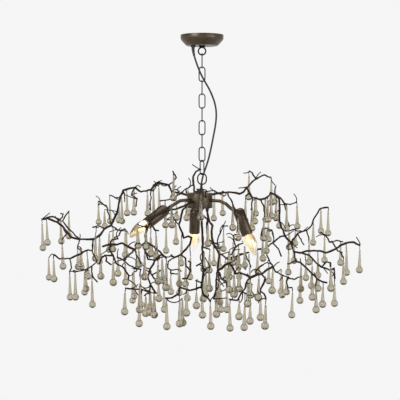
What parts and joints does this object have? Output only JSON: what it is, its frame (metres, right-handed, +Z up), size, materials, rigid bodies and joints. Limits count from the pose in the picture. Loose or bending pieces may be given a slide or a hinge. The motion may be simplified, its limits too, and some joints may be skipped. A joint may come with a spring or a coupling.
{
  "type": "chandelier",
  "caption": "Ceiling chandelier: a drum hub on a link chain carries curved metal twigs hung with long glass drops and three downward candle lamps.",
  "frame": {"origin": "on the ceiling, midway between the two screw holes of the ceiling bracket, on the chain's axis", "axes": "+Z up to the ceiling, +Y away from the picture's viewer, +X to the viewer's right"},
  "size_m": [0.9147, 0.6154, 0.769],
  "materials": {
    "bracket_steel": "zinc-plated, dull",
    "bronze_lacquer": "dark bronze lacquer, satin with soft reflections",
    "twig_bronze": "brown-bronze patina on rough castings",
    "black_steel": "near-black lacquer, semi-gloss",
    "black_plastic": "matte black",
    "cable_sheath": "black flexible sheath",
    "terminal_plastic": "matte off-white",
    "lampholder_plastic": "matte dark brown",
    "cap_metal": "bright, slightly worn",
    "bulb_glass": "softly frosted, glowing warm",
    "crystal": "clear champagne-grey glass, polished"
  },
  "bodies": {
    "ceiling": {"ceiling_bracket": "bracket_steel", "rose_cup": "bronze_lacquer", "ceiling_eye": "black_steel", "cord_gland": "black_plastic", "supply_cable": "cable_sheath"},
    "link_1": {"chain_link_1": "black_steel"},
    "link_2": {"chain_link_2": "black_steel"},
    "link_3": {"chain_link_3": "black_steel"},
    "link_4": {"chain_link_4": "black_steel"},
    "link_5": {"chain_link_5": "black_steel"},
    "link_6": {"chain_link_6": "black_steel"},
    "link_7": {"chain_link_7": "black_steel"},
    "link_8": {"chain_link_8": "black_steel"},
    "link_9": {"chain_link_9": "black_steel"},
    "ring": {"suspension_ring": "black_steel"},
    "chandelier": {"ring_holder": "bronze_lacquer", "hub_body": "bronze_lacquer", "hub_cover": "bronze_lacquer", "hub_nut": "bronze_lacquer", "terminal_block": "terminal_plastic", "lamp_arm_left": "bronze_lacquer", "lamp_sleeve_left": "bronze_lacquer", "lampholder_left": "lampholder_plastic", "lamp_arm_right": "bronze_lacquer", "lamp_sleeve_right": "bronze_lacquer", "lampholder_right": "lampholder_plastic", "lamp_arm_back": "bronze_lacquer", "lamp_sleeve_back": "bronze_lacquer", "lampholder_back": "lampholder_plastic", "branch_left": "twig_bronze", "drops_left": "crystal", "branch_front_left": "twig_bronze", "drops_front_left": "crystal", "branch_front": "twig_bronze", "drops_front": "crystal", "branch_back_left": "twig_bronze", "drops_back_left": "crystal", "branch_back_right": "twig_bronze", "drops_back_right": "crystal", "branch_front_right": "twig_bronze", "drops_front_right": "crystal", "branch_right": "twig_bronze", "drops_right": "crystal", "branch_back": "twig_bronze", "drops_back": "crystal"},
    "bulb_left": {"bulb_cap_left": "cap_metal", "bulb_glass_left": "bulb_glass"},
    "bulb_right": {"bulb_cap_right": "cap_metal", "bulb_glass_right": "bulb_glass"},
    "bulb_back": {"bulb_cap_back": "cap_metal", "bulb_glass_back": "bulb_glass"},
    "hanging_far_right": {"drop_far_right": "crystal"},
    "hanging_right_rim": {"drop_right_rim": "crystal"},
    "hanging_right_inner": {"drop_right_inner": "crystal"},
    "hanging_left_inner": {"drop_left_inner": "crystal"},
    "hanging_left_edge": {"drop_left_edge": "crystal"},
    "hanging_low_front": {"drop_low_front": "crystal"},
    "hanging_left_low": {"drop_left_low": "crystal"},
    "hanging_hub_front": {"drop_hub_front": "crystal"}
  },
  "joints": [
    {"name": "chain_swing_1", "type": "hinge", "parent": "ceiling", "child": "link_1", "pos_m": [0, 0, -0.05315], "axis": [1, 0, 0], "range_deg": [-10, 10], "deforming": ["supply_cable"]},
    {"name": "chain_swing_2", "type": "hinge", "parent": "link_1", "child": "link_2", "pos_m": [0, 0, -0.08865], "axis": [0, 1, 0], "range_deg": [-10, 10], "deforming": ["supply_cable"]},
    {"name": "chain_swing_3", "type": "hinge", "parent": "link_2", "child": "link_3", "pos_m": [0, 0, -0.12465], "axis": [1, 0, 0], "range_deg": [-10, 10], "deforming": ["supply_cable"]},
    {"name": "chain_swing_4", "type": "hinge", "parent": "link_3", "child": "link_4", "pos_m": [0, 0, -0.16065], "axis": [0, 1, 0], "range_deg": [-10, 10], "deforming": ["supply_cable"]},
    {"name": "chain_swing_5", "type": "hinge", "parent": "link_4", "child": "link_5", "pos_m": [0, 0, -0.19665], "axis": [1, 0, 0], "range_deg": [-10, 10], "deforming": ["supply_cable"]},
    {"name": "chain_swing_6", "type": "hinge", "parent": "link_5", "child": "link_6", "pos_m": [0, 0, -0.23265], "axis": [0, 1, 0], "range_deg": [-10, 10], "deforming": ["supply_cable"]},
    {"name": "chain_swing_7", "type": "hinge", "parent": "link_6", "child": "link_7", "pos_m": [0, 0, -0.26865], "axis": [1, 0, 0], "range_deg": [-10, 10], "deforming": ["supply_cable"]},
    {"name": "chain_swing_8", "type": "hinge", "parent": "link_7", "child": "link_8", "pos_m": [0, 0, -0.30465], "axis": [0, 1, 0], "range_deg": [-10, 10], "deforming": ["supply_cable"]},
    {"name": "chain_swing_9", "type": "hinge", "parent": "link_8", "child": "link_9", "pos_m": [0, 0, -0.34065], "axis": [1, 0, 0], "range_deg": [-10, 10], "deforming": ["supply_cable"]},
    {"name": "ring_swing", "type": "hinge", "parent": "link_9", "child": "ring", "pos_m": [0, 0, -0.37665], "axis": [0.6428, 0.766, 0], "range_deg": [-12, 12], "deforming": ["supply_cable"]},
    {"name": "chandelier_swing", "type": "hinge", "parent": "ring", "child": "chandelier", "pos_m": [0, 0, -0.40345], "axis": [1, 0, 0], "range_deg": [-10, 10], "deforming": ["supply_cable"]},
    {"name": "bulb_left_unscrew", "type": "hinge", "parent": "chandelier", "child": "bulb_left", "pos_m": [-0.09335, -0.0662, -0.463], "axis": [-0.6916, -0.5212, -0.5], "range_deg": [0, 1080]},
    {"name": "bulb_right_unscrew", "type": "hinge", "parent": "chandelier", "child": "bulb_right", "pos_m": [0.09576, -0.04298, -0.466], "axis": [0.3448, -0.1464, -0.9272], "range_deg": [0, 1080]},
    {"name": "bulb_back_unscrew", "type": "hinge", "parent": "chandelier", "child": "bulb_back", "pos_m": [-0.01891, 0.10918, -0.479], "axis": [-0.0377, 0.3067, -0.9511], "range_deg": [0, 1080]},
    {"name": "drop_far_right_swing", "type": "hinge", "parent": "chandelier", "child": "hanging_far_right", "pos_m": [0.4375, 0.02, -0.5864], "axis": [1, 0, 0], "range_deg": [-25, 25]},
    {"name": "drop_right_rim_swing", "type": "hinge", "parent": "chandelier", "child": "hanging_right_rim", "pos_m": [0.3985, 0.011, -0.5824], "axis": [1, 0, 0], "range_deg": [-25, 25]},
    {"name": "drop_right_inner_swing", "type": "hinge", "parent": "chandelier", "child": "hanging_right_inner", "pos_m": [0.2845, 0, -0.6154], "axis": [1, 0, 0], "range_deg": [-25, 25]},
    {"name": "drop_left_inner_swing", "type": "hinge", "parent": "chandelier", "child": "hanging_left_inner", "pos_m": [-0.1035, 0.12, -0.5354], "axis": [1, 0, 0], "range_deg": [-25, 25]},
    {"name": "drop_left_edge_swing", "type": "hinge", "parent": "chandelier", "child": "hanging_left_edge", "pos_m": [-0.3145, 0.275, -0.4854], "axis": [1, 0, 0], "range_deg": [-25, 25]},
    {"name": "drop_low_front_swing", "type": "hinge", "parent": "chandelier", "child": "hanging_low_front", "pos_m": [0.1535, -0.3, -0.6754], "axis": [0, 1, 0], "range_deg": [-25, 25]},
    {"name": "drop_left_low_swing", "type": "hinge", "parent": "chandelier", "child": "hanging_left_low", "pos_m": [-0.1965, 0.08, -0.6804], "axis": [0, 1, 0], "range_deg": [-25, 25]},
    {"name": "drop_hub_front_swing", "type": "hinge", "parent": "chandelier", "child": "hanging_hub_front", "pos_m": [-0.0035, -0.105, -0.4184], "axis": [0, 1, 0], "range_deg": [-25, 25]}
  ]
}
